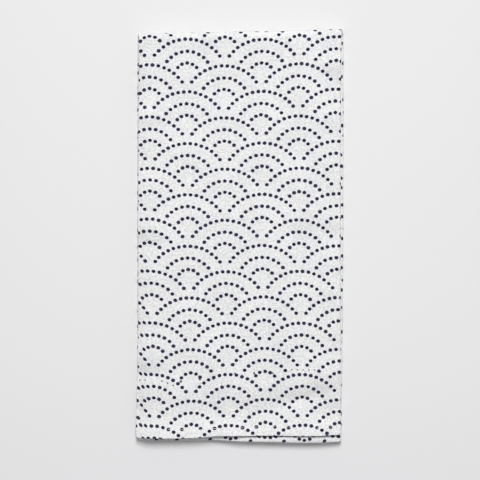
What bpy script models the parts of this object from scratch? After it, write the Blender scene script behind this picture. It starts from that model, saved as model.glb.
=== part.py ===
"""A furoshiki, a square of printed cotton, lying folded in eight layers. Metres, +Z up.

The square is folded in half twice lengthwise, which makes a strip of four layers, and then in half
crosswise at its +Y end. The strip's section is laid out once, as a path through its four layers, and
is then carried along the upper run, round the cross fold and back along the lower run, so that the
whole cloth is one sheet. It lies on z = 0, with the middle of its footprint at the origin.
"""

import math
from collections import namedtuple

import bmesh
import bpy

MM = 0.001

# The cloth: a hemmed square, which folds to an eighth of its area
CLOTH_SIDE = 500 * MM
HALF_WIDTH = CLOTH_SIDE / 8
HALF_LENGTH = CLOTH_SIDE / 4

# The sheet's thickness and the space between its layers, of which each run has four
SHEET = 1.0 * MM
GAP = 0.2 * MM
PITCH = SHEET + GAP
RUN_LAYERS = 4
RUN_HEIGHT = GAP / 2 + RUN_LAYERS * PITCH - GAP
STACK_HEIGHT = 2 * RUN_HEIGHT

# Lengthwise, four layers turn round the wide fold on the right and two round the small one on the left
WIDE_FOLD_HALF = (RUN_LAYERS * PITCH - GAP) / 2
SMALL_FOLD_HALF = (2 * PITCH - GAP) / 2

# Pressed folds are squarish ovals: 2 would be round, and more is flatter with tighter corners
SQUARENESS = 3.2

# How many facets each stretch has
RUN_STEPS = 9
WIDE_FOLD_STEPS = 8
SMALL_FOLD_STEPS = 6
CROSS_FOLD_STEPS = 9
LENGTH_STEPS = 10

# The hem at each end of the strip, how much its extra plies lift the stack, and the distances from
# the end, in hem widths, where the section is set before it goes on in even steps
HEM_WIDTH = 5.8 * MM
HEM_RISE = 0.8 * MM
HEM_STATIONS = (0, 0.45, 0.9, 1.35, 2.2, 4)

# Outline of the ends, in millimetres beyond the folded square's nominal lines, from the left edge of
# the strip (-1) to its right edge (1): the cross fold, the upper run's hem and the lower run's hem
End = namedtuple("End", "across fold upper lower")
ENDS = (
    End(-1.00, -1.3, -1.8, 0.0),
    End(-0.67, -0.8, -1.7, 0.2),
    End(-0.33, -0.4, -2.3, 0.3),
    End(0.00, 0.0, -2.9, 0.4),
    End(0.38, 0.2, -3.0, 1.1),
    End(0.72, 1.1, -2.6, 1.5),
    End(1.00, 1.5, -3.6, 0.7),
)

# Outline of the sides, in millimetres beyond the nominal lines, by the share of the length from the
# cross fold (0) to the hems (1)
Side = namedtuple("Side", "along upper_left upper_right lower_left lower_right")
SIDES = (
    Side(0.00, -0.6, -0.3, 0.4, 1.1),
    Side(0.15, -0.5, -0.7, 0.4, 1.1),
    Side(0.50, -0.4, -0.8, 0.3, 1.0),
    Side(0.75, -0.3, -0.7, 0.4, 0.6),
    Side(0.88, 0.4, -0.6, 0.5, 0.2),
    Side(0.97, 1.0, -0.7, 0.5, 0.0),
    Side(1.00, 0.4, -0.8, 0.2, -0.3),
)

# The strip's layers from the cross fold's inside to its outside, in millimetres: how far each one's
# left end stays back from the side, and how far its hem reaches past the outline in each run. The
# first two end there in the cloth's long edges, and the other two turn into each other.
Layer = namedtuple("Layer", "setback upper_reach lower_reach")
LAYERS = (
    Layer(0.9, 0.5, 0.0),
    Layer(1.7, -0.6, -0.8),
    Layer(SMALL_FOLD_HALF / MM, -0.9, -0.3),
    Layer(SMALL_FOLD_HALF / MM, 0.0, -0.6),
)

# Soft ridges (up) and troughs (down) of the lying cloth, in millimetres
Swell = namedtuple("Swell", "x y half_x half_y up")
SWELLS = (
    Swell(-56, -78, 22, 14, -0.3),
    Swell(44, -94, 26, 14, -0.3),
    Swell(-8, -100, 30, 16, 0.2),
    Swell(-52, 0, 22, 16, -0.15),
    Swell(56, 68, 20, 16, -0.15),
    Swell(10, 105, 60, 20, 0.25),
    Swell(58, -20, 16, 60, 0.2),
)

CLOTH_WHITE = (0.86, 0.86, 0.87, 1.0)
CLOTH_ROUGHNESS = 0.9

# A point of the strip's section: the share of the width where it hangs, its place across from there,
# its height above the cross fold's middle plane, and how far it reaches past the end of each run
Spot = namedtuple("Spot", "share across height upper_reach lower_reach")


def blend(first, second, share):
    return first + (second - first) * share


def read(table, column, at):
    """A column of a table at any place of its first column, on a smooth curve through the rows."""
    rows = [(row[0], getattr(row, column)) for row in table]
    at = min(max(at, rows[0][0]), rows[-1][0])
    index = next(i for i in range(len(rows) - 1) if at <= rows[i + 1][0])

    def slope(i):
        low, high = rows[max(i - 1, 0)], rows[min(i + 1, len(rows) - 1)]
        return (high[1] - low[1]) / (high[0] - low[0])

    (start, before), (stop, after) = rows[index], rows[index + 1]
    span = stop - start
    t = (at - start) / span
    return (
        before * (1 + 2 * t) * (1 - t) ** 2
        + after * t * t * (3 - 2 * t)
        + slope(index) * span * t * (1 - t) ** 2
        - slope(index + 1) * span * t * t * (1 - t)
    )


def fold_point(angle, size):
    """A point of a pressed fold's squarish oval, as its place out of the fold and up."""

    def pressed(value):
        return math.copysign(abs(value) ** (2 / SQUARENESS), value)

    return size * pressed(math.cos(angle)), size * pressed(math.sin(angle))


def level(layer):
    """Height of a layer's middle above the cross fold's middle plane."""
    return GAP / 2 + SHEET / 2 + layer * PITCH


def flat_spots(layer, offset):
    """A layer's flat stretch on one of its faces, from its left end to the wide fold."""
    row = LAYERS[layer]
    shares = [step / RUN_STEPS for step in range(RUN_STEPS + 1)]
    return [
        Spot(
            share,
            blend(row.setback * MM, -WIDE_FOLD_HALF, share),
            level(layer) + offset,
            row.upper_reach,
            row.lower_reach,
        )
        for share in shares
    ]


def turn_spots(first, last, offset, steps, start, stop):
    """A lengthwise fold from one layer to another, from a start angle to a stop, without its ends."""
    on_right = math.cos((start + stop) / 2) > 0
    anchor = -WIDE_FOLD_HALF if on_right else SMALL_FOLD_HALF
    middle = (level(first) + level(last)) / 2
    size = abs(level(last) - level(first)) / 2 + offset
    spots = []
    for step in range(1, steps):
        done = step / steps
        out, up = fold_point(blend(start, stop, done), size)
        spots.append(
            Spot(
                1 if on_right else 0,
                anchor + out,
                middle + up,
                blend(LAYERS[first].upper_reach, LAYERS[last].upper_reach, done),
                blend(LAYERS[first].lower_reach, LAYERS[last].lower_reach, done),
            )
        )
    return spots


def strip_face(side):
    """The section's path along one face of the cloth: 1 is the printed face, -1 the back."""
    half = side * SHEET / 2
    quarter = math.pi / 2
    return (
        flat_spots(0, -half)
        + turn_spots(0, 3, half, WIDE_FOLD_STEPS, -quarter, quarter)
        + flat_spots(3, half)[::-1]
        + turn_spots(3, 2, half, SMALL_FOLD_STEPS, quarter, 3 * quarter)
        + flat_spots(2, -half)
        + turn_spots(2, 1, -half, SMALL_FOLD_STEPS, quarter, -quarter)
        + flat_spots(1, half)[::-1]
    )


def side_line(column, along):
    """Where a side of a run lies, by the share of the length from the cross fold."""
    sign = -1 if column.endswith("left") else 1
    return sign * (HALF_WIDTH + read(SIDES, column, along) * MM)


def end_line(column, share):
    """How far an end of a run lies from the middle, by the share of the width."""
    return HALF_LENGTH + read(ENDS, column, 2 * share - 1) * MM


def rise(x, y):
    """How far the top of the stack lies above its even height."""
    from_end = (HALF_LENGTH + y) / HEM_WIDTH
    hem = HEM_RISE / (1 + math.exp((from_end - 1.5) / 0.35))
    swells = sum(
        swell.up
        * math.exp(-(((x / MM - swell.x) / swell.half_x) ** 2) - ((y / MM - swell.y) / swell.half_y) ** 2)
        for swell in SWELLS
    )
    return hem + swells * MM


def place(spot, y, height, lower):
    """A spot of the section in space. Lower is 0 in the upper run and 1 in the lower one."""
    along = (HALF_LENGTH - y) / (2 * HALF_LENGTH)
    left = blend(side_line("upper_left", along), side_line("lower_left", along), lower)
    right = blend(side_line("upper_right", along), side_line("lower_right", along), lower)
    x = blend(left, right, spot.share) + spot.across
    return x, y, (RUN_HEIGHT + height) * (1 + rise(x, y) / STACK_HEIGHT)


def run_ring(section, from_end, onwards, lower):
    """The section on a run, a distance from the end and then a share of the way on to the fold."""
    ring = []
    for spot in section:
        end = end_line("lower" if lower else "upper", spot.share)
        reach = (spot.lower_reach if lower else spot.upper_reach) * MM
        fold_start = end_line("fold", spot.share) - RUN_HEIGHT
        y = blend(from_end - end - reach, fold_start, onwards)
        ring.append(place(spot, y, -spot.height if lower else spot.height, lower))
    return ring


def cross_fold_ring(section, angle):
    """The section on the cross fold, where each spot turns on an oval as large as its height."""
    ring = []
    for spot in section:
        out, up = fold_point(angle, spot.height)
        y = end_line("fold", spot.share) - RUN_HEIGHT + out
        ring.append(place(spot, y, up, (1 - math.sin(angle)) / 2))
    return ring


def section_rings():
    """The closed section from the upper hem, round the cross fold, to the lower hem."""
    section = strip_face(1) + strip_face(-1)[::-1]
    stations = [(width * HEM_WIDTH, 0) for width in HEM_STATIONS]
    stations += [(stations[-1][0], step / LENGTH_STEPS) for step in range(1, LENGTH_STEPS + 1)]
    angles = [math.pi / 2 - math.pi * step / CROSS_FOLD_STEPS for step in range(1, CROSS_FOLD_STEPS)]
    return (
        [run_ring(section, from_end, onwards, 0) for from_end, onwards in stations]
        + [cross_fold_ring(section, angle) for angle in angles]
        + [run_ring(section, from_end, onwards, 1) for from_end, onwards in reversed(stations)]
    )


def sweep(mesh, rings):
    """Walls between the rings, and at each end the cut edge between the cloth's two faces."""
    count = len(rings[0])
    loops = [[mesh.verts.new(point) for point in ring] for ring in rings]
    for near, far in zip(loops, loops[1:]):
        for i in range(count):
            j = (i + 1) % count
            mesh.faces.new((near[i], near[j], far[j], far[i]))
    for loop in (loops[0], loops[-1]):
        for i in range(count // 2 - 1):
            mesh.faces.new((loop[i], loop[i + 1], loop[count - 2 - i], loop[count - 1 - i]))


def cloth_material():
    material = bpy.data.materials.new("printed_cotton")
    material.use_nodes = True
    shader = material.node_tree.nodes["Principled BSDF"]
    shader.inputs["Base Color"].default_value = CLOTH_WHITE
    shader.inputs["Roughness"].default_value = CLOTH_ROUGHNESS
    shader.inputs["Metallic"].default_value = 0.0
    return material


def make_cloth():
    mesh = bmesh.new()
    sweep(mesh, section_rings())
    bmesh.ops.recalc_face_normals(mesh, faces=mesh.faces)
    data = bpy.data.meshes.new("folded_cloth")
    mesh.to_mesh(data)
    mesh.free()
    data.materials.append(cloth_material())
    data.shade_smooth()
    data.set_sharp_from_angle(angle=math.radians(50))
    cloth = bpy.data.objects.new("folded_cloth", data)
    bpy.context.scene.collection.objects.link(cloth)


for old in list(bpy.data.objects):
    bpy.data.objects.remove(old, do_unlink=True)
make_cloth()
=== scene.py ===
"""How a folded furoshiki looks: a thin printed cotton sheet on its solid's folds, with stitched hems.

Metres, +Z up, in the solid's own frame. The square is folded in half twice lengthwise, which makes a
strip of four layers, and then once crosswise at its +Y end. The strip's section is laid out as a path
through its four layers. It is carried along the upper run, round the cross fold and back along the
lower run, so that the whole cloth is one sheet with its print on the outer face.
"""

import math
from collections import namedtuple

import bpy
import numpy as np
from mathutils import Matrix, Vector
from mathutils.bvhtree import BVHTree


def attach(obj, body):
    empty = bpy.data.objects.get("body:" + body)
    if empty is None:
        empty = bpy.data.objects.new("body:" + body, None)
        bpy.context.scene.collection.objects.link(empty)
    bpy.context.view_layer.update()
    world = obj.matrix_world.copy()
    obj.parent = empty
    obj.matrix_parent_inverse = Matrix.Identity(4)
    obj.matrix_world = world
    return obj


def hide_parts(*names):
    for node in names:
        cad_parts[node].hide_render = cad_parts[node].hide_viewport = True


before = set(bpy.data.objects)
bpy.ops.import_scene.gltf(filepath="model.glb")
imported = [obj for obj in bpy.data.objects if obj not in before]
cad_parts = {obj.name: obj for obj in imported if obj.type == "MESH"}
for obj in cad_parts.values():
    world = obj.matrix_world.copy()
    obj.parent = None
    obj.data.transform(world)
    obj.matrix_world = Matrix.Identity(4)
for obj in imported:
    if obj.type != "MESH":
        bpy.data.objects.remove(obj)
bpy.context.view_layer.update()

MM = 0.001

# The cloth as in its solid: a hemmed square, which folds to an eighth of its area
CLOTH_SIDE = 500 * MM
HALF_WIDTH = CLOTH_SIDE / 8
HALF_LENGTH = CLOTH_SIDE / 4
RUN_HEIGHT = 4.7 * MM
STACK_HEIGHT = 2 * RUN_HEIGHT
RUN_LAYERS = 4

# The sheet is finer than the solid's, with looser air between its layers
SHEET = 0.55 * MM
GAP = (RUN_HEIGHT - RUN_LAYERS * SHEET) / (RUN_LAYERS - 0.5)
PITCH = SHEET + GAP

# Half heights of the lengthwise folds, of four layers on the right and of two on the left
WIDE_FOLD_HALF = (RUN_LAYERS * PITCH - GAP) / 2
SMALL_FOLD_HALF = (2 * PITCH - GAP) / 2

# Pressed folds are squarish ovals: 2 would be round, and more is flatter with tighter corners. The
# first is for the lengthwise folds.
SQUARENESS = 3.2
CROSS_SQUARENESS = 2.8

# The hem: its width and thickness, how long the step from it to the plain sheet is, and its line of
# stitches, with the depth and half width of their groove and how far they lift the underside
HEM_WIDTH = 5.8 * MM
HEM_SHEET = 0.75 * MM
HEM_STEP = 0.5 * MM
STITCH_LINE = 5.1 * MM
STITCH_GROOVE = 0.12 * MM
STITCH_GROOVE_HALF = 0.3 * MM
UNDERSIDE_GROOVE = 0.3 * MM

# How the stack's top lies: the hems' plies lift it up to about HEM_RISE_END hem widths from their
# edges, it settles towards the hems, and it is uneven. Its waves are UNEVEN_CLOSENESS times as close
# as those of the layers, which are about RIPPLE_LENGTH or longer.
HEM_RISE = 0.9 * MM
HEM_RISE_END = 1.2
HEM_RISE_SOFTNESS = 0.45
HEM_SETTLING = 1.0 * MM
UNEVEN = 0.22 * MM
UNEVEN_CLOSENESS = 1.5
RIPPLE_LENGTH = 34 * MM
RIPPLE_WAVES = 5

# How far from the hems the plane between the runs lifts, and how the lift grows into a lip at the
# lower hem: its gain as a multiple of the lift, how much of that multiple is lost again up to the
# end, and where the lip starts, is highest and ends
LIFT_HALF = 16 * MM
LOWER_LIP = 1.6
LIP_FALL = 0.9
LIP_START = 120.5 * MM
LIP_TOP = 124.2 * MM
LIP_END = HALF_LENGTH + 3 * MM

# Seeds of the random draws, for the stack's top, each run's layers (one more for each layer) and the
# stitches
TOP_SEED = 5
UPPER_SEED = 10
LOWER_SEED = 20
STITCH_SEED = 4

# How many facets each stretch has, the distances from a cut edge where its rounding is set, how full
# the sheet is there, and the distances from the hem's edge where the section is set
TOP_LAYER_STEPS = 76
HIDDEN_LAYER_STEPS = 18
STRIP_LAYER_STEPS = 40
WIDE_FOLD_STEPS = 14
SMALL_FOLD_STEPS = 10
CROSS_FOLD_STEPS = 18
UPPER_STEPS = 92
LOWER_STEPS = 56
EDGE_DISTANCES = np.array((0, 0.1, 0.3, 0.9)) * MM
EDGE_FULLNESS = np.array((0.4, 0.85, 1, 1))
HEM_DISTANCES = MM * np.array(
    (0, 0.1, 0.3, 0.9, 1.8, 2.8, 3.8, 4.5, 4.8, 5.1, 5.4, 5.7, 6.1, 6.6, 7.6, 9.2, 11.4, 14)
)

# Outline of the ends, in millimetres beyond the folded square's nominal lines, from the left edge of
# the strip (-1) to its right edge (1): the cross fold, the upper run's hem and the lower run's hem.
# The last column is how far the plane between the runs lies above its even height at the hems.
End = namedtuple("End", "across fold upper lower lift")
ENDS = (
    End(-1.00, -1.3, -1.6, 0.0, -0.2),
    End(-0.82, -1.0, -1.3, 0.2, -0.2),
    End(-0.39, -0.5, -1.9, 0.2, -0.1),
    End(-0.22, -0.2, -2.8, -0.1, 0.3),
    End(0.00, 0.0, -2.9, 0.6, 0.9),
    End(0.38, 0.2, -3.2, 1.1, 1.1),
    End(0.62, 0.8, -2.9, 1.5, 1.1),
    End(0.84, 1.3, -3.0, 1.4, 0.9),
    End(0.90, 1.4, -3.4, 1.2, 0.8),
    End(1.00, 1.5, -3.6, 0.9, 0.6),
)

# Outline of the sides, in millimetres beyond the nominal lines, by the share of the length from the
# cross fold (0) to the hems (1). The last column is how far the top droops at the left side, within
# about DROOP_HALF of it.
Side = namedtuple("Side", "along upper_left upper_right lower_left lower_right droop")
SIDES = (
    Side(0.00, -1.0, -0.3, 0.3, 1.1, 1.5),
    Side(0.09, -0.9, -0.5, 0.3, 1.1, 1.4),
    Side(0.15, -0.7, -0.7, 0.4, 1.1, 1.4),
    Side(0.50, -0.4, -0.8, 0.3, 1.0, 1.2),
    Side(0.75, -0.3, -0.7, 0.4, 0.6, 2.0),
    Side(0.88, 0.4, -0.6, 0.5, 0.2, 2.2),
    Side(0.97, 1.0, -0.7, 0.5, 0.0, 2.2),
    Side(1.00, 0.4, -0.8, 0.2, -0.3, 2.4),
)
DROOP_HALF = 3.4 * MM

# The strip's layers from the cross fold's inside to its outside, in millimetres: how far each one's
# left end stays back from the side, how far its hem reaches past the outline in each run, and how
# much it waves up and down there
Layer = namedtuple("Layer", "setback upper_reach lower_reach upper_wave lower_wave")
LAYERS = (
    Layer(0.9, -2.6, 0.0, 0.14, 0.10),
    Layer(1.9, -3.8, -2.2, 0.22, 0.22),
    Layer(SMALL_FOLD_HALF / MM, -1.8, -3.0, 0.18, 0.20),
    Layer(SMALL_FOLD_HALF / MM, 0.0, -1.6, 0.0, 0.0),
)

# Soft ridges (up) and troughs (down) of the lying cloth, in millimetres, and how they slant
Crease = namedtuple("Crease", "x y half_x half_y up slant")
CREASES = (
    Crease(0, 122, 90, 30, 1.0, 0.0),
    Crease(0, 120.8, 75, 4.5, 0.6, 0.0),
    Crease(62, 104.8, 14, 5, 1.2, 0.0),
    Crease(-60, 73.2, 13, 4.6, 1.5, 0.0),
    Crease(64, 71.5, 18, 6.5, 1.5, 0.0),
    Crease(0, 12, 60, 6, 0.3, 0.0),
    Crease(-60, 5, 16, 7, 1.3, 0.0),
    Crease(-60, -4.3, 14, 4.3, -0.8, 0.0),
    Crease(60, 12, 14, 6, 0.4, 0.0),
    Crease(60, 1.5, 14, 5.5, -0.9, 0.0),
    Crease(60, -12, 12, 6, 0.5, 0.0),
    Crease(60, -25.5, 14, 5, -1.1, 0.0),
    Crease(62, -61, 12, 5, 0.3, 0.0),
    Crease(-62, -76, 14, 5, 0.5, 0.0),
    Crease(-60, -84.5, 14, 5, -1.9, 0.0),
    Crease(-54, -108, 20, 7.5, -1.1, 0.0),
    Crease(-10, -109, 40, 8.5, -1.1, 0.0),
    Crease(20, -91, 16, 6, 0.8, 0.0),
    Crease(54, -84, 14, 7, 0.9, 0.0),
    Crease(40, -99, 17, 4.5, -2.2, 0.2),
    Crease(36, -109, 32, 9, -1.6, 0.0),
    Crease(60, -106, 12, 7, -0.8, 0.0),
)

# The stage: the picture's width and middle on the stack's top, the camera, the lamp, which shines
# from the cross fold's side, the even light of the room, and the floor, a hair below the cloth
PICTURE_WIDTH = 292.7 * MM
PICTURE_MIDDLE = Vector((0.15, -2.44, 9.4)) * MM
CAMERA_DISTANCE = 1.2
SENSOR_WIDTH = 36
LAMP_DISTANCE = 3.2
LAMP_HEIGHT_ANGLE = math.radians(62)
LAMP_SIDE_ANGLE = math.radians(4)
LAMP_WIDTH = 0.6
LAMP_HEIGHT = 1.6
LAMP_WATTS = 80.0
ROOM_LIGHT = 0.36
FLOOR_HALF = 5
FLOOR_GAP = 0.05 * MM


def blend(first, second, share):
    return first + (second - first) * share


def smooth_step(low, high, value):
    share = np.clip((value - low) / (high - low), 0, 1)
    return share * share * (3 - 2 * share)


def read(table, column, at):
    """A column of a table at any places of its first column, on a smooth curve through the rows."""
    places = np.array([row[0] for row in table], float)
    values = np.array([getattr(row, column) for row in table], float)
    before = np.maximum(np.arange(len(places)) - 1, 0)
    after = np.minimum(np.arange(len(places)) + 1, len(places) - 1)
    slopes = (values[after] - values[before]) / (places[after] - places[before])
    at = np.clip(at, places[0], places[-1])
    i = np.clip(np.searchsorted(places, at) - 1, 0, len(places) - 2)
    span = places[i + 1] - places[i]
    t = (at - places[i]) / span
    return (
        values[i] * (1 + 2 * t) * (1 - t) ** 2
        + values[i + 1] * t * t * (3 - 2 * t)
        + slopes[i] * span * t * (1 - t) ** 2
        - slopes[i + 1] * span * t * t * (1 - t)
    )


def pressed(value, squareness):
    """A cosine or sine made squarish, as on a pressed fold."""
    return np.copysign(np.abs(value) ** (2 / squareness), value)


def level(layer):
    """Height of a layer's middle above the plane between the runs."""
    return GAP / 2 + SHEET / 2 + layer * PITCH


class Section:
    """The strip's section as a path of stations, built stretch by stretch.

    Each station has the share of the width where it hangs, its anchor across from there, a middle
    height, the direction and size of the fold that it lies on, which way the print faces along that
    direction, how much of each layer it is, and how full the sheet is there.
    """

    FIELDS = ("share", "anchor", "middle", "cosine", "sine", "radius", "facing", "full")

    def __init__(self):
        self.rows = []
        self.weights = []

    def add(self, weights, **row):
        self.rows.append([row[field] for field in self.FIELDS])
        self.weights.append(weights)

    def finish(self):
        for field, values in zip(self.FIELDS, np.array(self.rows, float).T):
            setattr(self, field, values)
        self.weights = np.array(self.weights, float)
        self.count = len(self.rows)
        return self

    def flat(self, layer, facing, steps, free_end=False, backwards=False):
        """A layer's flat stretch from its left end to the wide fold, or backwards."""
        first = EDGE_DISTANCES / (2 * HALF_WIDTH) if free_end else np.zeros(1)
        full = EDGE_FULLNESS if free_end else np.ones(1)
        shares = np.append(first, blend(first[-1], 1, np.arange(1, steps + 1) / steps))
        full = np.append(full, np.ones(steps))
        order = slice(None, None, -1) if backwards else slice(None)
        for share, fullness in zip(shares[order], full[order]):
            self.add(
                np.eye(RUN_LAYERS)[layer],
                share=share,
                anchor=blend(LAYERS[layer].setback * MM, -WIDE_FOLD_HALF, share),
                middle=level(layer),
                cosine=0,
                sine=1,
                radius=0,
                facing=facing,
                full=fullness,
            )

    def turn(self, first, last, facing, steps, start, stop):
        """A lengthwise fold from one layer to another, between two angles, without its ends."""
        on_right = math.cos(math.radians((start + stop) / 2)) > 0
        for step in range(1, steps):
            angle = math.radians(blend(start, stop, step / steps))
            self.add(
                blend(np.eye(RUN_LAYERS)[first], np.eye(RUN_LAYERS)[last], step / steps),
                share=1 if on_right else 0,
                anchor=-WIDE_FOLD_HALF if on_right else SMALL_FOLD_HALF,
                middle=(level(first) + level(last)) / 2,
                cosine=pressed(math.cos(angle), SQUARENESS),
                sine=pressed(math.sin(angle), SQUARENESS),
                radius=abs(level(last) - level(first)) / 2,
                facing=facing,
                full=1,
            )


def strip_section():
    """Layer 0 with its free edge, the wide fold, layer 3 on the outside, and back in to layer 1."""
    section = Section()
    section.flat(0, -1, STRIP_LAYER_STEPS, free_end=True)
    section.turn(0, 3, 1, WIDE_FOLD_STEPS, -90, 90)
    section.flat(3, 1, TOP_LAYER_STEPS, backwards=True)
    section.turn(3, 2, 1, SMALL_FOLD_STEPS, 90, 270)
    section.flat(2, -1, HIDDEN_LAYER_STEPS)
    section.turn(2, 1, -1, SMALL_FOLD_STEPS, 90, -90)
    section.flat(1, 1, HIDDEN_LAYER_STEPS, free_end=True, backwards=True)
    return section.finish()


Rings = namedtuple("Rings", "from_end onwards angle")


def strip_rings():
    """Where the section is set: its distance from the hem's edge, the share of the way on from the
    hem to the cross fold, and its angle round that fold, from 90 on the upper run to -90."""
    hems = len(HEM_DISTANCES)
    last = HEM_DISTANCES[-1]
    turn = np.arange(1, CROSS_FOLD_STEPS) / CROSS_FOLD_STEPS
    upper = np.arange(1, UPPER_STEPS + 1) / UPPER_STEPS
    lower = np.arange(LOWER_STEPS, 0, -1) / LOWER_STEPS
    from_end = np.concatenate(
        (HEM_DISTANCES, np.full(UPPER_STEPS + len(turn) + LOWER_STEPS, last), HEM_DISTANCES[::-1])
    )
    onwards = np.concatenate((np.zeros(hems), upper, np.ones(len(turn)), lower, np.zeros(hems)))
    angle = np.concatenate(
        (np.full(hems + UPPER_STEPS, 90), 90 - 180 * turn, np.full(LOWER_STEPS + hems, -90))
    )
    return Rings(from_end[:, None], onwards[:, None], np.radians(angle)[:, None])


def groove(from_end):
    """How deep the stitches pull the hem in, as a share."""
    return np.exp(-(((from_end - STITCH_LINE) / STITCH_GROOVE_HALF) ** 2))


def half_sheet(from_end):
    """Half the sheet's thickness, by the distance from the hem's edge."""
    hem = 1 - smooth_step(HEM_WIDTH, HEM_WIDTH + HEM_STEP, from_end)
    full = np.interp(from_end, EDGE_DISTANCES, EDGE_FULLNESS)
    return (blend(SHEET, HEM_SHEET, hem) / 2 - STITCH_GROOVE * groove(from_end)) * full


def ripple(seed, x, y):
    """Long uneven waves between -1 and 1, another set for each seed."""
    draw = np.random.default_rng(seed)
    waves = 0
    for _ in range(RIPPLE_WAVES):
        across, along = draw.uniform(-1, 1, 2) * 2 * math.pi / RIPPLE_LENGTH
        waves = waves + np.sin(across * x + along * y + draw.uniform(0, 2 * math.pi))
    return waves / RIPPLE_WAVES


def layer_waves(section, lower, x, y):
    """How far each station lies off its layer's even height."""
    total = 0
    for layer, row in enumerate(LAYERS):
        upper = row.upper_wave * ripple(UPPER_SEED + layer, x, y)
        under = row.lower_wave * ripple(LOWER_SEED + layer, x, y)
        total = total + section.weights[:, layer] * blend(upper, under, lower)
    return total * MM


def rise(x, y):
    """How far the top of the stack lies above its even height."""
    from_end = (HALF_LENGTH + y) / HEM_WIDTH
    along = (HALF_LENGTH - y) / (2 * HALF_LENGTH)
    total = HEM_RISE / (1 + np.exp((from_end - HEM_RISE_END) / HEM_RISE_SOFTNESS))
    total = total - HEM_SETTLING * along**2
    total = total + UNEVEN * ripple(TOP_SEED, x * UNEVEN_CLOSENESS, y * UNEVEN_CLOSENESS)
    droop = read(SIDES, "droop", along) * MM
    total = total - droop * np.exp(-(((HALF_WIDTH + x) / DROOP_HALF) ** 2))
    for crease in CREASES:
        across = x / MM - crease.x
        lengthwise = (y / MM - crease.y - crease.slant * across) / crease.half_y
        total = total + crease.up * MM * np.exp(-((across / crease.half_x) ** 2) - lengthwise**2)
    return total


def side_line(column, along):
    """Where a side of a run lies, by the share of the length from the cross fold."""
    sign = -1 if column.endswith("left") else 1
    return sign * (HALF_WIDTH + read(SIDES, column, along) * MM)


def end_line(column, share):
    """How far an end of a run lies from the middle, by the share of the width."""
    return HALF_LENGTH + read(ENDS, column, 2 * share - 1) * MM


def cloth_face(section, rings, side):
    """Points of the cloth's printed face (side 1), its back (-1) or its middle (0)."""
    lower = (1 - np.sin(rings.angle)) / 2
    upper_reach, lower_reach = (
        section.weights @ np.array([getattr(row, column) for row in LAYERS]) * MM
        for column in ("upper_reach", "lower_reach")
    )
    end = blend(
        end_line("upper", section.share) + upper_reach,
        end_line("lower", section.share) + lower_reach,
        lower,
    )
    fold_start = end_line("fold", section.share) - RUN_HEIGHT
    run_y = blend(rings.from_end - end, fold_start, rings.onwards)
    along = (HALF_LENGTH - run_y) / (2 * HALF_LENGTH)
    left = blend(side_line("upper_left", along), side_line("lower_left", along), lower)
    right = blend(side_line("upper_right", along), side_line("lower_right", along), lower)

    size = section.radius + section.facing * side * half_sheet(rings.from_end) * section.full
    x = blend(left, right, section.share) + section.anchor + section.cosine * size
    height = section.middle + section.sine * size + layer_waves(section, lower, x, run_y)
    y = run_y + pressed(np.cos(rings.angle), CROSS_SQUARENESS) * height
    height = pressed(np.sin(rings.angle), CROSS_SQUARENESS) * height

    near_hems = np.exp(-(((HALF_LENGTH + y) / LIFT_HALF) ** 2))
    lip = 1 + LOWER_LIP * smooth_step(LIP_START, LIP_TOP, -y)
    lip = lip - LIP_FALL * smooth_step(LIP_TOP, LIP_END, -y)
    lift = read(ENDS, "lift", x / HALF_WIDTH) * MM * near_hems * lip
    top = STACK_HEIGHT + rise(x, y)
    middle = top / 2 + lift
    z = middle + height / RUN_HEIGHT * np.where(height > 0, top - middle, middle)
    lowest = UNDERSIDE_GROOVE * groove(rings.from_end) * lower
    return np.stack((x, y, np.maximum(z, lowest)), axis=-1)


# The print, in millimetres: a wave of three dotted arcs, in rows that are set half a wave to the side
# of each other, where the top of one wave lies on the upper run, and how much the print leans
WAVE_WIDTH = 45.32
ROW_HEIGHT = 15.73
FIRST_WAVE = (-9.86, 72.99)
LEAN_ACROSS = 0.01227
LEAN_ALONG = 0.0056

# The dots: their radius, how much wider than high they are, how unequal their radii are, how far they
# lie off their places, how ragged and how soft their edges are, and how far round them the cloth is
# tinted. Each kind of arc has its own draws by KIND_STEP, and FAR_OFF is where the search for the
# nearest dot starts.
DOT_RADIUS = 1.195
DOT_FLATNESS = 1.1
DOT_UNEQUAL = 0.14
DOT_WANDER = 0.2
DOT_RAGGED = 0.35
DOT_BLUR = 0.06
BLED_WIDTH = 1.2
KIND_STEP = 0.37
FAR_OFF = 9.0

# The arcs: how far an arc's top lies below its wave's, its radius, half its angle in degrees, its
# dots, and where its rows start, so that no dot is cut off at the edge of a row
Arc = namedtuple("Arc", "drop radius half_angle dots row_start")
ARCS = (
    Arc(0.0, 24.6, 53.1, 14, -1.6),
    Arc(7.26, 15.6, 52.8, 9, 0.0),
    Arc(14.2, 7.3, 51.5, 5, 8.0),
)

# The print of the lower run, in millimetres: the place down the print at its hem's edge, and what is
# added to the places across and down, by the share of the length from the cross fold. The print
# changes from the upper run's course to this one over the first RETURN_START of that length.
LOWER_HEM_DOWN = -375.6
RETURN_START = 0.18
Return = namedtuple("Return", "along sideways down")
RETURNS = (
    Return(0.00, -12.0, -4.2),
    Return(0.08, -13.6, -2.6),
    Return(0.20, -12.0, -1.5),
    Return(0.30, -11.0, -0.7),
    Return(0.40, -7.2, -0.9),
    Return(0.52, -7.0, -1.0),
    Return(0.72, -8.9, -0.8),
    Return(0.91, -9.8, 0.6),
    Return(1.00, -11.5, 0.0),
)

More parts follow.
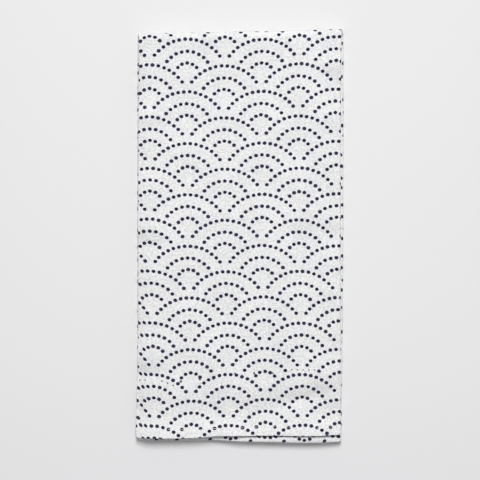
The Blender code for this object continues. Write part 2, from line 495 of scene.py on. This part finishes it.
# How far the print lies off an even repeat, in millimetres, by the share of the length from the cross
# fold: to the right, how far it spreads to the left near the left edge, and down at seven places
# across. The places are shares of the half width, as are those between which the spread sets in.
Drift = namedtuple(
    "Drift", "along sideways spread edge far_left left near_left near_right right far_right"
)
DRIFT_PLACES = (-1.00, -0.90, -0.60, -0.17, 0.20, 0.56, 0.86)
SPREAD_PLACES = (0.65, 0.97)
DRIFTS = (
    Drift(0.02, 1.50, 0.8, 0.0, -0.5, 0.0, 0.5, 0.6, -0.4, -0.9),
    Drift(0.07, 1.00, 0.5, 0.2, -0.2, 0.3, 0.7, 0.6, -0.3, -0.7),
    Drift(0.19, 0.20, 0.0, 0.3, 0.1, 0.7, 0.9, 0.8, -0.1, -0.4),
    Drift(0.31, 0.40, 0.3, 0.0, 0.0, 0.7, 0.8, 0.6, 0.3, 0.0),
    Drift(0.46, 0.00, 0.6, -0.9, -0.6, 0.4, 0.5, 0.4, 0.5, 0.6),
    Drift(0.54, -0.30, 0.5, -1.0, -0.4, 0.4, 0.4, 0.2, 0.4, 0.7),
    Drift(0.62, 0.20, 0.3, -1.3, -0.2, 0.5, 0.3, 0.1, 0.3, 0.8),
    Drift(0.80, 0.70, 0.0, -2.6, -0.1, 0.8, 0.3, -0.1, 0.5, 0.9),
    Drift(0.96, 0.65, 0.0, -2.8, -0.3, 0.9, 0.0, -0.3, 0.0, 0.1),
)

# Runs of tiny stray dots where the print is joined, in millimetres: where on the print a run starts,
# how many dots it has, how far down each next one lies, and their radius. All have the same pitch
# across, the same softness of their edges and the same strength.
Stray = namedtuple("Stray", "across down dots step radius")
STRAYS = (
    Stray(-54.3, 163.0, 2, -1.5, 0.48),
    Stray(-40.4, 161.1, 3, 1.1, 0.52),
    Stray(-28.8, 160.8, 1, 0.0, 0.8),
    Stray(-17.2, 159.8, 1, 0.0, 0.7),
    Stray(-9.1, 159.9, 2, -1.5, 0.6),
    Stray(4.3, 156.8, 1, 0.0, 0.6),
    Stray(16.0, 156.9, 1, 0.0, 0.7),
    Stray(27.5, 156.8, 1, 0.0, 0.55),
    Stray(38.9, 154.4, 5, 0.0, 0.45),
)
STRAY_PITCH = 3.5
STRAY_BLUR = 0.1
STRAY_STRENGTH = 0.9

# The cloth's colours: cotton where it is dull, and where it is pale and cool or warm, what ink does
# to the cotton round a dot, the darkest and the bluest ink, and the stray dots' ink
DULL_COTTON = (0.66, 0.669, 0.667, 1)
COOL_COTTON = (0.914, 0.921, 0.958, 1)
WARM_COTTON = (0.942, 0.944, 0.906, 1)
BLED_TINT = (0.985, 0.975, 1.06, 1)
DARK_INK = (0.011, 0.011, 0.021, 1)
BLUE_INK = (0.034, 0.032, 0.055, 1)
STRAY_INK = (0.06, 0.055, 0.055, 1)

# How strong the ink is on the printed face, and how much of it shows through on the back
INK_STRENGTH = 0.995
SHOW_THROUGH = 0.22

# The cotton's tone: how much the mottle and the grain count beside the threads and the clouds, the
# sums at which it is dull and pale, and how much painted shade darkens it at the sides, where the
# folds turn away from the light, between two distances from the middle
TONE_OF_MOTTLE = 3.0
TONE_OF_GRAIN = 4.0
TONE_RANGE = (4.0, 5.8)
COTTON_PAINTED_SIDE_SHADE = 0.1
COTTON_PAINTED_SHADE_DISTANCES = (38 * MM, 62 * MM)

# The cotton's threads: how fine the slubs' noise is, per millimetre, across and along a slub, the
# weave's pitch in millimetres, how much each part counts in the relief, and the relief's depth
SLUB_ACROSS = 2.6
SLUB_ALONG = 0.12
WEAVE_PITCH = 0.7
RELIEF_OF_WEAVE = 0.05
RELIEF_OF_THREADS = 0.16
RELIEF_OF_CRUMPLE = 0.5
RELIEF_OF_MOTTLE = 0.18
RELIEF_OF_GRAIN = 0.45
RELIEF_DEPTH = 0.6 * MM


def down_drift(along, x):
    """How far down the print lies off an even repeat, between the seven places across."""
    columns = Drift._fields[-len(DRIFT_PLACES) :]
    total = 0
    for column, near in zip(columns, np.eye(len(DRIFT_PLACES))):
        share = np.interp(x / HALF_WIDTH, DRIFT_PLACES, near)
        total = total + read(DRIFTS, column, along) * share
    return total


def fold_length(angle):
    """How far round the cross fold's outer face an angle lies, in millimetres."""
    half_degrees = np.radians(np.linspace(90, -90, 361))
    turns = np.cos(half_degrees), np.sin(half_degrees)
    oval = [pressed(turn, CROSS_SQUARENESS) * RUN_HEIGHT / MM for turn in turns]
    lengths = np.append(0, np.cumsum(np.hypot(*np.diff(oval))))
    return np.interp(-angle, -half_degrees, lengths)


def cloth_places(section, rings, middle):
    """Where each point lies on the print, in millimetres: across the waves, and down the rows."""
    step = np.hypot(np.diff(middle[..., 0]), np.diff(middle[..., 2]))
    run = np.concatenate((np.zeros((len(middle), 1)), np.cumsum(step, axis=1)), axis=1)
    top = int(np.argmax(section.weights[:, RUN_LAYERS - 1] * np.isclose(section.share, 0.5)))
    across = (middle[:, top, 0][:, None] - (run - run[:, top][:, None])) / MM

    fold_y = (end_line("fold", section.share) - RUN_HEIGHT) / MM
    y = np.minimum(middle[..., 1] / MM, fold_y)
    lower = np.isclose(rings.angle, -math.pi / 2)
    returned = np.where(lower, (fold_y - y) / (2 * HALF_LENGTH / MM), 0)
    down = np.where(lower, y - 2 * fold_y, -y) - fold_length(rings.angle)
    from_hem = y + end_line("lower", section.share) / MM + LOWER_HEM_DOWN
    from_hem = from_hem + read(RETURNS, "down", returned)
    started = smooth_step(0, RETURN_START, returned)
    down = blend(down, from_hem, started)
    across = across + read(RETURNS, "sideways", returned) * started

    along = (HALF_LENGTH / MM - y) / (2 * HALF_LENGTH / MM)
    upper = (1 + np.sin(rings.angle)) / 2
    x = middle[..., 0]
    spread = read(DRIFTS, "spread", along) * smooth_step(*SPREAD_PLACES, -x / HALF_WIDTH)
    across = across + upper * (spread - read(DRIFTS, "sideways", along)) - FIRST_WAVE[0]
    down = down - upper * down_drift(along, x) + FIRST_WAVE[1]
    down = down + LEAN_ALONG * across
    return across - LEAN_ACROSS * down, down


def sheet_faces(rows, columns):
    """Quads of the two faces, whose points follow each other, and of the walls at all four edges."""
    index = np.arange(rows * columns).reshape(rows, columns)
    back = index + rows * columns

    def quads(a, b, c, d):
        return np.stack((a, b, c, d), axis=-1).reshape(-1, 4)

    print_side = quads(index[:-1, :-1], index[:-1, 1:], index[1:, 1:], index[1:, :-1])
    back_side = quads(back[:-1, :-1], back[1:, :-1], back[1:, 1:], back[:-1, 1:])
    walls = [
        quads(index[0, :-1], back[0, :-1], back[0, 1:], index[0, 1:]),
        quads(index[-1, :-1], index[-1, 1:], back[-1, 1:], back[-1, :-1]),
        quads(index[:-1, 0], index[1:, 0], back[1:, 0], back[:-1, 0]),
        quads(index[:-1, -1], back[:-1, -1], back[1:, -1], index[1:, -1]),
    ]
    return np.concatenate([print_side, back_side, *walls])


def new_object(name, points, faces):
    data = bpy.data.meshes.new(name)
    data.from_pydata(points.tolist(), [], faces.tolist())
    data.validate()
    data.shade_smooth()
    made = bpy.data.objects.new(name, data)
    bpy.context.scene.collection.objects.link(made)
    return made


def make_cloth():
    section = strip_section()
    rings = strip_rings()
    faces = [cloth_face(section, rings, side).reshape(-1, 3) for side in (1, -1)]
    middle = cloth_face(section, rings, 0)
    cloth = new_object(
        "furoshiki_cloth", np.concatenate(faces), sheet_faces(len(rings.angle), section.count)
    )
    across, down = cloth_places(section, rings, middle)
    printed = np.repeat((1.0, 0.0), across.size)
    places = np.stack((np.tile(across.ravel(), 2), np.tile(down.ravel(), 2), printed), axis=-1)
    attribute = cloth.data.attributes.new("print_place", "FLOAT_VECTOR", "POINT")
    attribute.data.foreach_set("vector", places.astype(np.float32).ravel())
    return cloth


class Nodes:
    """Adds nodes to a tree and links them, so that a material reads as a list of steps."""

    def __init__(self, tree):
        self.tree = tree

    def add(self, kind, inputs=(), **settings):
        node = self.tree.nodes.new(kind)
        for name, value in settings.items():
            setattr(node, name, value)
        for key, value in dict(inputs).items():
            self.feed(node.inputs[key], value)
        return node

    def feed(self, socket, value):
        if isinstance(value, bpy.types.NodeSocket):
            self.tree.links.new(value, socket)
        else:
            socket.default_value = value

    def math(self, operation, *values):
        return self.add("ShaderNodeMath", dict(enumerate(values)), operation=operation).outputs[0]

    def ramp(self, value, low, high, to_low=0.0, to_high=1.0):
        """A soft step of the value, from low to high."""
        inputs = {"Value": value, "From Min": low, "From Max": high}
        inputs.update({"To Min": to_low, "To Max": to_high})
        return self.add("ShaderNodeMapRange", inputs, interpolation_type="SMOOTHSTEP").outputs[0]

    def point(self, x, y, z=0.0):
        return self.add("ShaderNodeCombineXYZ", {"X": x, "Y": y, "Z": z}).outputs[0]

    def noise(self, place, scale, detail=2.0, roughness=0.5):
        inputs = {"Vector": place, "Scale": scale, "Detail": detail, "Roughness": roughness}
        return self.add("ShaderNodeTexNoise", inputs).outputs["Fac"]

    def mix(self, share, first, second, blend_type="MIX"):
        """A mix of two colours, whose sockets come after the ones for numbers and vectors."""
        inputs = {0: share, 6: first, 7: second}
        node = self.add("ShaderNodeMix", inputs, data_type="RGBA", blend_type=blend_type)
        return node.outputs[2]


def dotted_arc_group():
    """Distance from the nearest printed dot of one kind of arc, in millimetres."""
    group = bpy.data.node_groups.new("dotted_arc", "ShaderNodeTree")
    for name in ("Across", "Down", "Drop", "Radius", "Half Angle", "Gaps", "Row Start", "Kind"):
        group.interface.new_socket(name, in_out="INPUT", socket_type="NodeSocketFloat")
    for name in ("Distance", "Chance"):
        group.interface.new_socket(name, in_out="OUTPUT", socket_type="NodeSocketFloat")
    n = Nodes(group)
    given = group.nodes.new("NodeGroupInput").outputs

    row = n.math("DIVIDE", n.math("SUBTRACT", given["Down"], given["Row Start"]), ROW_HEIGHT)
    row = n.math("FLOOR", row)
    shift = n.math("MULTIPLY", n.math("FLOORED_MODULO", row, 2.0), WAVE_WIDTH / 2)
    across = n.math("SUBTRACT", given["Across"], shift)
    wave = n.math("ROUND", n.math("DIVIDE", across, WAVE_WIDTH))
    x = n.math("SUBTRACT", across, n.math("MULTIPLY", wave, WAVE_WIDTH))
    y = n.math("SUBTRACT", given["Down"], n.math("MULTIPLY", row, ROW_HEIGHT))
    y = n.math("SUBTRACT", n.math("ADD", given["Radius"], given["Drop"]), y)

    step = n.math("DIVIDE", n.math("MULTIPLY", given["Half Angle"], 2.0), given["Gaps"])
    place = n.math("DIVIDE", n.math("ADD", n.math("ARCTAN2", x, y), given["Half Angle"]), step)
    index = n.math("MINIMUM", n.math("MAXIMUM", n.math("ROUND", place), 0.0), given["Gaps"])
    angle = n.math("SUBTRACT", n.math("MULTIPLY", index, step), given["Half Angle"])
    seed = n.point(n.math("ADD", wave, n.math("MULTIPLY", given["Kind"], KIND_STEP)), row, index)
    chance = n.add("ShaderNodeTexWhiteNoise", {"Vector": seed}, noise_dimensions="3D")
    moved = n.add("ShaderNodeSeparateColor", {"Color": chance.outputs["Color"]}).outputs
    dot_x = n.math("MULTIPLY", given["Radius"], n.math("SINE", angle))
    dot_y = n.math("MULTIPLY", given["Radius"], n.math("COSINE", angle))
    dot_x = n.math("MULTIPLY_ADD", n.math("SUBTRACT", moved[0], 0.5), DOT_WANDER, dot_x)
    dot_y = n.math("MULTIPLY_ADD", n.math("SUBTRACT", moved[1], 0.5), DOT_WANDER, dot_y)
    out = group.nodes.new("NodeGroupOutput")
    off_x = n.math("SUBTRACT", x, dot_x)
    off_y = n.math("MULTIPLY", n.math("SUBTRACT", y, dot_y), DOT_FLATNESS)
    square = n.math("ADD", n.math("MULTIPLY", off_x, off_x), n.math("MULTIPLY", off_y, off_y))
    n.feed(out.inputs["Distance"], n.math("SQRT", square))
    n.feed(out.inputs["Chance"], moved[2])
    return group


def printed_dots(n, across, down):
    """How much ink lies at a place of the print, how blue it is, and how far the ink's edge is."""
    group = dotted_arc_group()
    ink, blue, nearest = 0.0, 0.0, FAR_OFF
    wobble = n.noise(n.point(across, down), scale=1.6, detail=3.0)
    wobble = n.math("SUBTRACT", wobble, 0.5)
    for kind, arc in enumerate(ARCS):
        node = n.add("ShaderNodeGroup", node_tree=group)
        inputs = {
            "Across": across,
            "Down": down,
            "Drop": arc.drop,
            "Radius": arc.radius,
            "Half Angle": math.radians(arc.half_angle),
            "Gaps": arc.dots - 1,
            "Row Start": arc.row_start,
            "Kind": kind,
        }
        for name, value in inputs.items():
            n.feed(node.inputs[name], value)
        chance = node.outputs["Chance"]
        smallest = DOT_RADIUS - DOT_UNEQUAL / 2
        radius = n.math("MULTIPLY_ADD", chance, DOT_UNEQUAL, smallest)
        ragged = n.math("MULTIPLY_ADD", wobble, DOT_RAGGED, node.outputs["Distance"])
        from_edge = n.math("SUBTRACT", ragged, radius)
        nearest = n.math("MINIMUM", nearest, from_edge)
        dot = n.ramp(from_edge, -DOT_BLUR, DOT_BLUR, 1.0, 0.0)
        ink = n.math("MAXIMUM", ink, dot)
        blue = n.math("MAXIMUM", blue, n.math("MULTIPLY", dot, chance))
    return ink, blue, nearest


def stray_group():
    """Distance from the nearest dot of a run of stray dots, in millimetres."""
    group = bpy.data.node_groups.new("stray_run", "ShaderNodeTree")
    for name in ("Across", "Down", "Last", "Step"):
        group.interface.new_socket(name, in_out="INPUT", socket_type="NodeSocketFloat")
    group.interface.new_socket("Distance", in_out="OUTPUT", socket_type="NodeSocketFloat")
    n = Nodes(group)
    given = group.nodes.new("NodeGroupInput").outputs
    index = n.math("ROUND", n.math("DIVIDE", given["Across"], STRAY_PITCH))
    index = n.math("MINIMUM", n.math("MAXIMUM", index, 0.0), given["Last"])
    x = n.math("MULTIPLY_ADD", index, -STRAY_PITCH, given["Across"])
    y = n.math("SUBTRACT", given["Down"], n.math("MULTIPLY", index, given["Step"]))
    square = n.math("ADD", n.math("MULTIPLY", x, x), n.math("MULTIPLY", y, y))
    out = group.nodes.new("NodeGroupOutput")
    n.feed(out.inputs["Distance"], n.math("SQRT", square))
    return group


def stray_dots(n, across, down):
    """How much of a stray dot lies at a place of the print."""
    group = stray_group()
    nearest = FAR_OFF
    for run in STRAYS:
        node = n.add("ShaderNodeGroup", node_tree=group)
        n.feed(node.inputs["Across"], n.math("SUBTRACT", across, run.across))
        n.feed(node.inputs["Down"], n.math("SUBTRACT", down, run.down))
        n.feed(node.inputs["Last"], run.dots - 1)
        n.feed(node.inputs["Step"], run.step)
        from_edge = n.math("SUBTRACT", node.outputs["Distance"], run.radius)
        nearest = n.math("MINIMUM", nearest, from_edge)
    return n.ramp(nearest, -STRAY_BLUR, STRAY_BLUR, STRAY_STRENGTH, 0.0)


def cotton_material():
    material = bpy.data.materials.new("printed_cotton")
    material.use_nodes = True
    n = Nodes(material.node_tree)
    shader = material.node_tree.nodes["Principled BSDF"]
    place = n.add("ShaderNodeAttribute", attribute_name="print_place").outputs["Vector"]
    parts = n.add("ShaderNodeSeparateXYZ", {"Vector": place}).outputs
    across, down, printed = parts["X"], parts["Y"], parts["Z"]
    flat = n.point(across, down)

    # Threads: slubs that run along the warp and the weft, and a soft unevenness over the whole. The
    # third value of a point only picks another draw of the noise.
    across_slub, down_slub = (n.math("MULTIPLY", value, SLUB_ACROSS) for value in (across, down))
    along_weft, along_warp = (n.math("MULTIPLY", value, SLUB_ALONG) for value in (across, down))
    warp = n.noise(n.point(across_slub, along_warp), scale=1.0, detail=3.0)
    weft = n.noise(n.point(along_weft, down_slub, 7.0), scale=1.0, detail=3.0)
    threads = n.math("ADD", warp, weft)
    cloud = n.noise(flat, scale=0.05, detail=3.0)
    mottle = n.noise(flat, scale=0.6, detail=3.0, roughness=0.6)
    grain = n.noise(n.point(across, down, 60.0), scale=1.4, detail=1.0)
    warmth = n.noise(n.point(across, down, 30.0), scale=0.35, detail=2.0)
    tone = n.math("MULTIPLY_ADD", mottle, TONE_OF_MOTTLE, n.math("ADD", threads, cloud))
    tone = n.math("MULTIPLY_ADD", grain, TONE_OF_GRAIN, tone)
    # Painted shade: the cotton is made duller towards both long sides, where the folds turn away from
    # the light
    object_place = n.add("ShaderNodeTexCoord").outputs["Object"]
    from_middle = n.add("ShaderNodeSeparateXYZ", {"Vector": object_place}).outputs["X"]
    painted_side_shade = n.ramp(n.math("ABSOLUTE", from_middle), *COTTON_PAINTED_SHADE_DISTANCES)
    tone = n.math("MULTIPLY_ADD", painted_side_shade, -COTTON_PAINTED_SIDE_SHADE, tone)
    pale = n.mix(n.ramp(warmth, 0.3, 0.7), COOL_COTTON, WARM_COTTON)
    white = n.mix(n.ramp(tone, *TONE_RANGE), DULL_COTTON, pale)

    ink, blue, from_edge = printed_dots(n, across, down)
    bled = n.math("MULTIPLY", printed, n.ramp(from_edge, 0.0, BLED_WIDTH, 1.0, 0.0))
    white = n.mix(bled, white, BLED_TINT, "MULTIPLY")
    strays = n.math("MULTIPLY", printed, stray_dots(n, across, down))
    white = n.mix(strays, white, STRAY_INK)
    strength = n.math("MULTIPLY", ink, n.ramp(printed, 0.0, 1.0, SHOW_THROUGH, INK_STRENGTH))
    navy = n.mix(blue, DARK_INK, BLUE_INK)
    n.feed(shader.inputs["Base Color"], n.mix(strength, white, navy))

    # Relief: a plain weave, the slubs and a fine crumple
    warp_wave, weft_wave = (
        n.math("SINE", n.math("MULTIPLY", value, 2 * math.pi / WEAVE_PITCH))
        for value in (across, down)
    )
    weave = n.math("MULTIPLY", warp_wave, weft_wave)
    crumple = n.noise(flat, scale=0.22, detail=4.0)
    relief = n.math("MULTIPLY", threads, RELIEF_OF_THREADS)
    relief = n.math("MULTIPLY_ADD", weave, RELIEF_OF_WEAVE, relief)
    relief = n.math("MULTIPLY_ADD", crumple, RELIEF_OF_CRUMPLE, relief)
    relief = n.math("MULTIPLY_ADD", grain, RELIEF_OF_GRAIN, relief)
    relief = n.math("MULTIPLY_ADD", mottle, RELIEF_OF_MOTTLE, relief)
    bump = n.add("ShaderNodeBump", {"Height": relief, "Strength": 1.0, "Distance": RELIEF_DEPTH})
    n.feed(shader.inputs["Normal"], bump.outputs["Normal"])
    shader.inputs["Roughness"].default_value = 0.88
    shader.inputs["Specular IOR Level"].default_value = 0.1
    shader.inputs["Sheen Weight"].default_value = 0.04
    shader.inputs["Sheen Roughness"].default_value = 0.5
    return material


# Stitches of white thread along the two outer hems, in millimetres: their pitch and length, how far
# their row reaches from the middle, how far they lie off their places along it and across it, how
# far and in what waves the row wanders, the thread's radius and its least distance from the floor,
# how high a stitch arches and how deep its ends dip, in thread widths, and its facets
STITCH_PITCH = 2.75
STITCH_LENGTH = 2.35
STITCH_REACH = 60.5
SHIFT_ALONG = 0.12
SHIFT_ACROSS = 0.08
ROW_WANDER = 0.35
ROW_WAVE = 9.0
THREAD_RADIUS = 0.14
THREAD_CLEARANCE = 0.01
STITCH_ARCH = 0.6
STITCH_DIP = 0.5
STITCH_SIDES = 6
STITCH_POINTS = 6

# How far from the floor's plane the search for the cloth's face starts, upwards and downwards
RAY_START = 50 * MM


def stitch_tube(points, normals, forward):
    """Points and quads of one stitch, whose ends dip into the cloth."""
    turns = np.arange(STITCH_SIDES) * 2 * math.pi / STITCH_SIDES
    rows = []
    for point, normal in zip(points, normals):
        side = np.cross(forward, normal)
        ways = [side * math.cos(turn) + normal * math.sin(turn) for turn in turns]
        rows.append([point + THREAD_RADIUS * MM * way for way in ways])
    index = np.arange(len(points) * STITCH_SIDES).reshape(len(points), STITCH_SIDES)
    after = np.roll(index, -1, axis=1)
    walls = np.stack((index[:-1], after[:-1], after[1:], index[1:]), axis=-1).reshape(-1, 4)
    return np.array(rows).reshape(-1, 3), walls


def make_stitches(cloth):
    """A row of stitches on the upper hem's top and on the lower hem's underside."""
    corners = [vertex.co for vertex in cloth.data.vertices]
    surface = BVHTree.FromPolygons(corners, [face.vertices for face in cloth.data.polygons])
    draw = np.random.default_rng(STITCH_SEED)
    arch = STITCH_ARCH * np.sin(np.linspace(0, math.pi, STITCH_POINTS)) - STITCH_DIP
    lift = arch * THREAD_RADIUS * 2 * MM
    lowest = (THREAD_RADIUS + THREAD_CLEARANCE) * MM
    points, faces, count = [], [], 0
    for column, up in (("upper", 1), ("lower", -1)):
        outer = LAYERS[RUN_LAYERS - 1]
        reach = outer.upper_reach if up > 0 else outer.lower_reach
        for start in np.arange(-STITCH_REACH, STITCH_REACH, STITCH_PITCH):
            begin = start + draw.uniform(-SHIFT_ALONG, SHIFT_ALONG)
            xs = (begin + STITCH_LENGTH * np.linspace(0, 1, STITCH_POINTS)) * MM
            wander = ROW_WANDER * math.sin(start / ROW_WAVE)
            wander = wander + draw.uniform(-SHIFT_ACROSS, SHIFT_ACROSS)
            end = end_line(column, (xs / HALF_WIDTH + 1) / 2) + reach * MM
            ys = STITCH_LINE + wander * MM - end
            line, normals = [], []
            for x, y, height in zip(xs, ys, lift):
                outside = Vector((x, y, up * RAY_START))
                hit, normal, _, _ = surface.ray_cast(outside, Vector((0, 0, -up)))
                z = hit.z + height if up > 0 else max(hit.z - height, lowest)
                line.append(np.array((x, y, z)))
                normals.append(np.array(normal))
            tube, walls = stitch_tube(line, normals, np.array((1.0, 0.0, 0.0)))
            points.append(tube)
            faces.append(walls + count)
            count += len(tube)
    return new_object("hem_stitches", np.concatenate(points), np.concatenate(faces))


def thread_material():
    material = bpy.data.materials.new("white_thread")
    material.use_nodes = True
    n = Nodes(material.node_tree)
    shader = material.node_tree.nodes["Principled BSDF"]
    place = n.add("ShaderNodeTexCoord").outputs["Object"]
    wave = {"Vector": place, "Scale": 900.0}
    twist = n.add("ShaderNodeTexWave", wave, bands_direction="DIAGONAL").outputs["Fac"]
    tone = n.mix(twist, (0.80, 0.80, 0.80, 1), (0.88, 0.88, 0.88, 1))
    n.feed(shader.inputs["Base Color"], tone)
    bump = n.add("ShaderNodeBump", {"Height": twist, "Strength": 0.4, "Distance": 0.05 * MM})
    n.feed(shader.inputs["Normal"], bump.outputs["Normal"])
    shader.inputs["Roughness"].default_value = 0.7
    return material


# The floor's shades: the even board's darkest and lightest, a painted cool shade towards the hems'
# side, darker and bluer where the lamp's light falls off, with the places where it is full and where
# it starts, and a painted darker shade to both sides, with how fast it grows by the square of the
# distance from the middle
BOARD_DARK = (0.792, 0.792, 0.792, 1)
BOARD_LIGHT = (0.802, 0.802, 0.802, 1)
BOARD_PAINTED_COOL_SHADE = (0.766, 0.766, 0.78, 1)
BOARD_PAINTED_SHADE_PLACES = (-0.17, -0.02)
BOARD_PAINTED_SIDE_SHADE = (0.735, 0.735, 0.735, 1)
BOARD_PAINTED_SHADE_GROWTH = 14.0


def floor_material():
    material = bpy.data.materials.new("pale_board")
    material.use_nodes = True
    n = Nodes(material.node_tree)
    shader = material.node_tree.nodes["Principled BSDF"]
    place = n.add("ShaderNodeTexCoord").outputs["Object"]
    parts = n.add("ShaderNodeSeparateXYZ", {"Vector": place}).outputs
    cloud = n.noise(place, scale=9.0, detail=3.0)
    shade = n.mix(cloud, BOARD_DARK, BOARD_LIGHT)
    # Painted shade: the board is darker and cooler towards the hems' side, where the lamp's light
    # falls off
    shade = n.mix(n.ramp(parts["Y"], *BOARD_PAINTED_SHADE_PLACES, 1.0, 0.0), shade, BOARD_PAINTED_COOL_SHADE)
    # Painted shade: the board is darker towards both sides, growing with the square of the distance
    # from the middle
    square = n.math("MULTIPLY", parts["X"], parts["X"])
    side = n.math("MINIMUM", n.math("MULTIPLY", square, BOARD_PAINTED_SHADE_GROWTH), 1.0)
    n.feed(shader.inputs["Base Color"], n.mix(side, shade, BOARD_PAINTED_SIDE_SHADE))
    shader.inputs["Roughness"].default_value = 0.9
    shader.inputs["Specular IOR Level"].default_value = 0.1
    return material


def make_floor():
    corners = np.array(((-1, -1), (1, -1), (1, 1), (-1, 1))) * FLOOR_HALF
    points = np.column_stack((corners, np.full(4, -FLOOR_GAP)))
    floor = new_object("floor", points, np.array(((0, 1, 2, 3),)))
    floor.data.materials.append(floor_material())


def make_camera():
    data = bpy.data.cameras.new("camera")
    data.sensor_width = SENSOR_WIDTH
    data.lens = SENSOR_WIDTH * CAMERA_DISTANCE / PICTURE_WIDTH
    camera = bpy.data.objects.new("camera", data)
    camera.location = PICTURE_MIDDLE + Vector((0, 0, CAMERA_DISTANCE))
    bpy.context.scene.collection.objects.link(camera)
    bpy.context.scene.camera = camera


def make_lights():
    data = bpy.data.lights.new("lamp", "AREA")
    data.shape = "ELLIPSE"
    data.size = LAMP_WIDTH
    data.size_y = LAMP_HEIGHT
    data.energy = LAMP_WATTS
    lamp = bpy.data.objects.new("lamp", data)
    outwards = math.cos(LAMP_HEIGHT_ANGLE)
    x = math.sin(LAMP_SIDE_ANGLE) * outwards
    y = math.cos(LAMP_SIDE_ANGLE) * outwards
    towards = Vector((x, y, math.sin(LAMP_HEIGHT_ANGLE)))
    lamp.location = towards * LAMP_DISTANCE
    lamp.rotation_euler = towards.to_track_quat("Z", "Y").to_euler()
    bpy.context.scene.collection.objects.link(lamp)
    world = bpy.data.worlds.new("room")
    world.use_nodes = True
    background = world.node_tree.nodes["Background"]
    background.inputs["Color"].default_value = (1, 1, 1, 1)
    background.inputs["Strength"].default_value = ROOM_LIGHT
    bpy.context.scene.world = world
    bpy.context.scene.view_settings.view_transform = "Standard"


cloth = make_cloth()
cloth.data.materials.append(cotton_material())
stitches = make_stitches(cloth)
stitches.data.materials.append(thread_material())
for piece in (cloth, stitches):
    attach(piece, "root")
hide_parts("folded_cloth")

make_floor()
make_camera()
make_lights()
